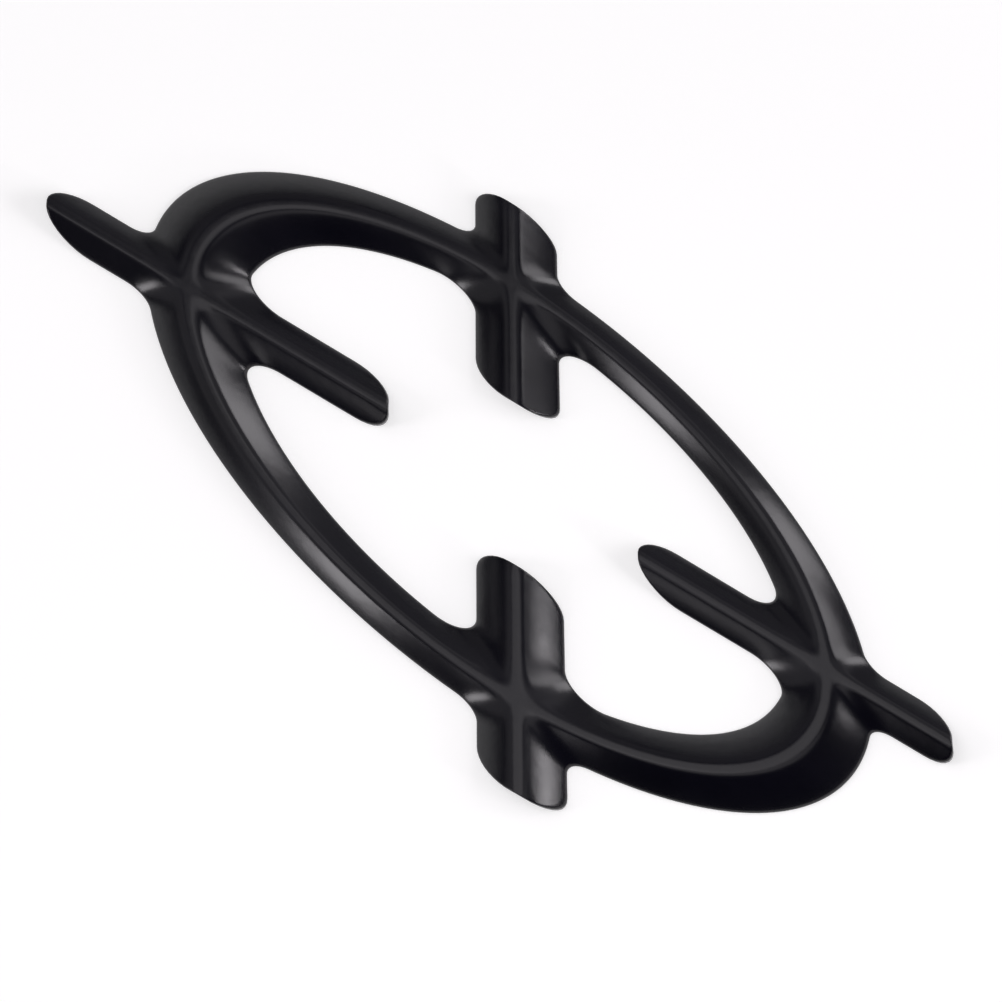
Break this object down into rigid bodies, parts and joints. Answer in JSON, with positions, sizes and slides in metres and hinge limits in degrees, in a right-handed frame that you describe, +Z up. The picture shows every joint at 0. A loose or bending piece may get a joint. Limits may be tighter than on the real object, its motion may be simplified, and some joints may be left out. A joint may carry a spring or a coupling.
{
  "type": "hob pan support",
  "caption": "Ring-shaped gas hob pan support with radial arms, pressed from one black enamelled steel sheet with a roof-shaped ridge, so that a small pot stands over a burner.",
  "frame": {"origin": "centre of the ring, on the plane that the rim rests on", "axes": "+Z up, towards the ridges; the arms lie along X and Y"},
  "size_m": [0.145, 0.145, 0.0053],
  "materials": {
    "black_enamel": "satin black vitreous enamel over pressed steel"
  },
  "bodies": {
    "root": {"pan_support": "black_enamel"}
  },
  "joints": []
}
